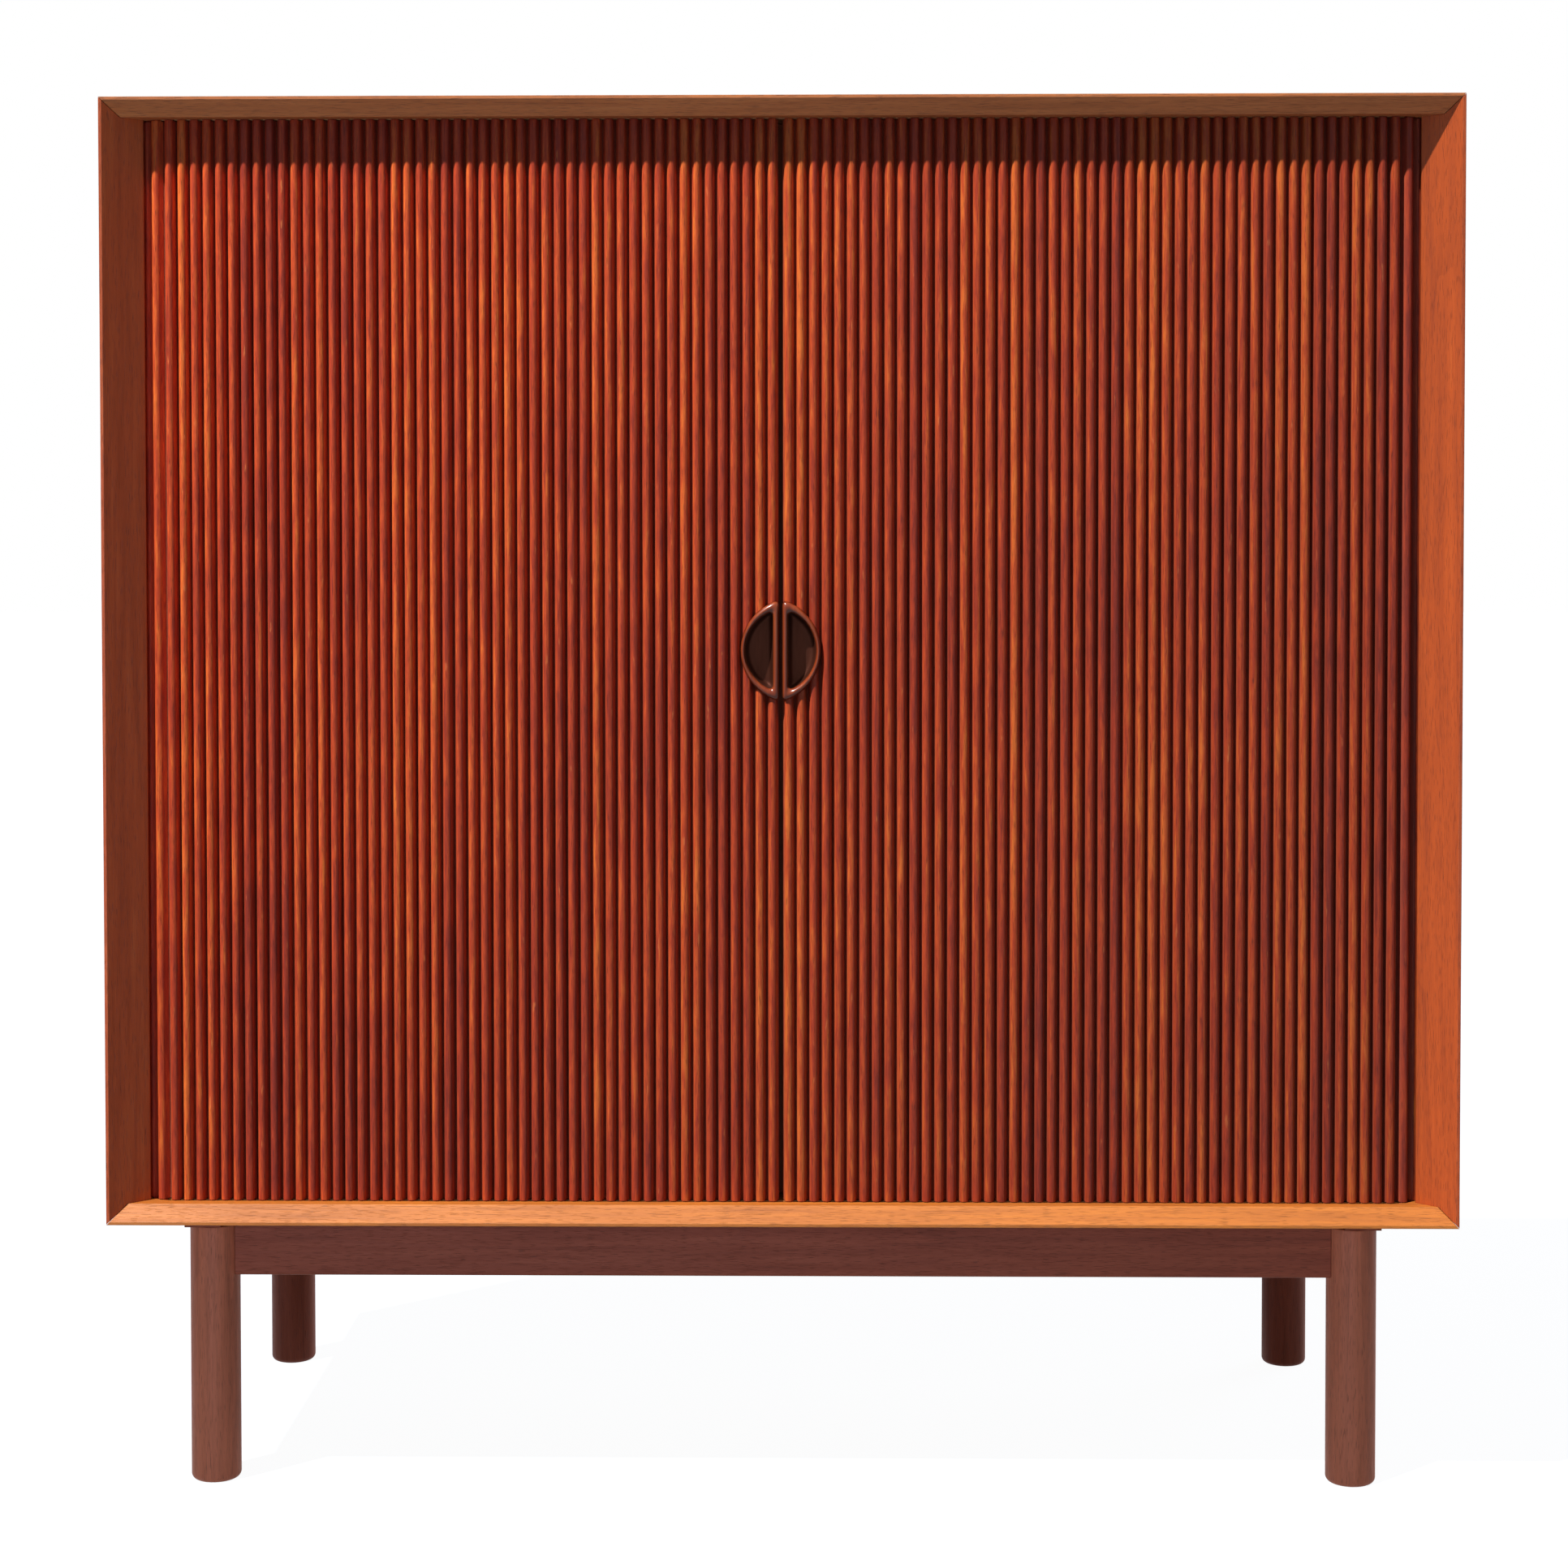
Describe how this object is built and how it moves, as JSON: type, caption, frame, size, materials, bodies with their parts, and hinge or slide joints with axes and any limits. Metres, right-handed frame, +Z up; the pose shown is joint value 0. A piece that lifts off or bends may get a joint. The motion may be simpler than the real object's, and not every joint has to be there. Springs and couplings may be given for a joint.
{
  "type": "tambour door cabinet",
  "caption": "Low cupboard on a round-legged base, closed by two slatted curtains that slide apart round the inside of the case and open on shelves.",
  "frame": {"origin": "on the floor, under the middle of the cabinet's width and depth", "axes": "+X to the right as seen from the front, +Y towards the back, +Z up"},
  "size_m": [1.1, 0.46, 1.14],
  "materials": {
    "case_teak": "oiled teak, satin, fine straight grain",
    "slat_teak": "oiled teak slats, satin, tone varies from slat to slat",
    "pull_teak": "carved teak, satin, worn smooth on the rim",
    "base_teak": "darker oiled teak, satin",
    "inner_wood": "paler veneer, matt",
    "plywood": "thin veneered plywood, matt",
    "screw_steel": "plain zinc-plated steel"
  },
  "bodies": {
    "cabinet": {"top_panel": "case_teak", "bottom_panel": "case_teak", "left_side_panel": "case_teak", "right_side_panel": "case_teak", "left_front_post": "case_teak", "right_front_post": "case_teak", "back_panel": "plywood", "false_back": "plywood", "left_liner": "inner_wood", "right_liner": "inner_wood", "centre_partition": "inner_wood", "left_lower_shelf": "inner_wood", "left_lower_shelf_inner_bearer": "inner_wood", "left_lower_shelf_outer_bearer": "inner_wood", "left_upper_shelf": "inner_wood", "left_upper_shelf_inner_bearer": "inner_wood", "left_upper_shelf_outer_bearer": "inner_wood", "right_lower_shelf": "inner_wood", "right_lower_shelf_inner_bearer": "inner_wood", "right_lower_shelf_outer_bearer": "inner_wood", "right_upper_shelf": "inner_wood", "right_upper_shelf_inner_bearer": "inner_wood", "right_upper_shelf_outer_bearer": "inner_wood", "front_left_leg": "base_teak", "front_right_leg": "base_teak", "rear_left_leg": "base_teak", "rear_right_leg": "base_teak", "front_rail": "base_teak", "rear_rail": "base_teak", "left_rail": "base_teak", "right_rail": "base_teak", "left_batten": "base_teak", "right_batten": "base_teak", "front_batten": "base_teak", "rear_batten": "base_teak", "front_left_screw": "screw_steel", "front_right_screw": "screw_steel", "rear_left_screw": "screw_steel", "rear_right_screw": "screw_steel", "left_curtain_tail": "slat_teak", "right_curtain_tail": "slat_teak"},
    "left_lead": {"left_lead_slats": "slat_teak", "left_pull": "pull_teak"},
    "left_curtain_strip_1": {"left_curtain_1": "slat_teak"},
    "left_curtain_strip_2": {"left_curtain_2": "slat_teak"},
    "left_curtain_strip_3": {"left_curtain_3": "slat_teak"},
    "left_curtain_strip_4": {"left_curtain_4": "slat_teak"},
    "left_curtain_strip_5": {"left_curtain_5": "slat_teak"},
    "left_curtain_strip_6": {"left_curtain_6": "slat_teak"},
    "left_curtain_strip_7": {"left_curtain_7": "slat_teak"},
    "right_lead": {"right_lead_slats": "slat_teak", "right_pull": "pull_teak"},
    "right_curtain_strip_1": {"right_curtain_1": "slat_teak"},
    "right_curtain_strip_2": {"right_curtain_2": "slat_teak"},
    "right_curtain_strip_3": {"right_curtain_3": "slat_teak"},
    "right_curtain_strip_4": {"right_curtain_4": "slat_teak"},
    "right_curtain_strip_5": {"right_curtain_5": "slat_teak"},
    "right_curtain_strip_6": {"right_curtain_6": "slat_teak"},
    "right_curtain_strip_7": {"right_curtain_7": "slat_teak"}
  },
  "joints": [
    {"name": "left_door_slide", "type": "slide", "parent": "cabinet", "child": "left_lead", "axis": [-1, 0, 0], "range_m": [0, 0.44075]},
    {"name": "left_curtain_1_slide", "type": "slide", "parent": "cabinet", "child": "left_curtain_strip_1", "axis": [-1, 0, 0], "range_m": [0, 0.41071], "deforming": ["left_curtain_1"]},
    {"name": "left_curtain_2_slide", "type": "slide", "parent": "cabinet", "child": "left_curtain_strip_2", "axis": [-1, 0, 0], "range_m": [0, 0.3456], "deforming": ["left_curtain_2"]},
    {"name": "left_curtain_3_slide", "type": "slide", "parent": "cabinet", "child": "left_curtain_strip_3", "axis": [-1, 0, 0], "range_m": [0, 0.28049], "deforming": ["left_curtain_3"]},
    {"name": "left_curtain_4_slide", "type": "slide", "parent": "cabinet", "child": "left_curtain_strip_4", "axis": [-1, 0, 0], "range_m": [0, 0.22038], "deforming": ["left_curtain_4"]},
    {"name": "left_curtain_5_slide", "type": "slide", "parent": "cabinet", "child": "left_curtain_strip_5", "axis": [-1, 0, 0], "range_m": [0, 0.16028], "deforming": ["left_curtain_5"]},
    {"name": "left_curtain_6_slide", "type": "slide", "parent": "cabinet", "child": "left_curtain_strip_6", "axis": [-1, 0, 0], "range_m": [0, 0.09517], "deforming": ["left_curtain_6"]},
    {"name": "left_curtain_7_slide", "type": "slide", "parent": "cabinet", "child": "left_curtain_strip_7", "axis": [-1, 0, 0], "range_m": [0, 0.03006], "deforming": ["left_curtain_7"]},
    {"name": "right_door_slide", "type": "slide", "parent": "cabinet", "child": "right_lead", "axis": [1, 0, 0], "range_m": [0, 0.44075]},
    {"name": "right_curtain_1_slide", "type": "slide", "parent": "cabinet", "child": "right_curtain_strip_1", "axis": [1, 0, 0], "range_m": [0, 0.41071], "deforming": ["right_curtain_1"]},
    {"name": "right_curtain_2_slide", "type": "slide", "parent": "cabinet", "child": "right_curtain_strip_2", "axis": [1, 0, 0], "range_m": [0, 0.3456], "deforming": ["right_curtain_2"]},
    {"name": "right_curtain_3_slide", "type": "slide", "parent": "cabinet", "child": "right_curtain_strip_3", "axis": [1, 0, 0], "range_m": [0, 0.28049], "deforming": ["right_curtain_3"]},
    {"name": "right_curtain_4_slide", "type": "slide", "parent": "cabinet", "child": "right_curtain_strip_4", "axis": [1, 0, 0], "range_m": [0, 0.22038], "deforming": ["right_curtain_4"]},
    {"name": "right_curtain_5_slide", "type": "slide", "parent": "cabinet", "child": "right_curtain_strip_5", "axis": [1, 0, 0], "range_m": [0, 0.16028], "deforming": ["right_curtain_5"]},
    {"name": "right_curtain_6_slide", "type": "slide", "parent": "cabinet", "child": "right_curtain_strip_6", "axis": [1, 0, 0], "range_m": [0, 0.09517], "deforming": ["right_curtain_6"]},
    {"name": "right_curtain_7_slide", "type": "slide", "parent": "cabinet", "child": "right_curtain_strip_7", "axis": [1, 0, 0], "range_m": [0, 0.03006], "deforming": ["right_curtain_7"]}
  ],
  "couplings": [
    {"joint": "left_curtain_1_slide", "follows": "left_door_slide", "ratio": 0.93182},
    {"joint": "left_curtain_2_slide", "follows": "left_door_slide", "ratio": 0.78409},
    {"joint": "left_curtain_3_slide", "follows": "left_door_slide", "ratio": 0.63636},
    {"joint": "left_curtain_4_slide", "follows": "left_door_slide", "ratio": 0.5},
    {"joint": "left_curtain_5_slide", "follows": "left_door_slide", "ratio": 0.36364},
    {"joint": "left_curtain_6_slide", "follows": "left_door_slide", "ratio": 0.21591},
    {"joint": "left_curtain_7_slide", "follows": "left_door_slide", "ratio": 0.068182},
    {"joint": "right_curtain_1_slide", "follows": "right_door_slide", "ratio": 0.93182},
    {"joint": "right_curtain_2_slide", "follows": "right_door_slide", "ratio": 0.78409},
    {"joint": "right_curtain_3_slide", "follows": "right_door_slide", "ratio": 0.63636},
    {"joint": "right_curtain_4_slide", "follows": "right_door_slide", "ratio": 0.5},
    {"joint": "right_curtain_5_slide", "follows": "right_door_slide", "ratio": 0.36364},
    {"joint": "right_curtain_6_slide", "follows": "right_door_slide", "ratio": 0.21591},
    {"joint": "right_curtain_7_slide", "follows": "right_door_slide", "ratio": 0.068182}
  ]
}
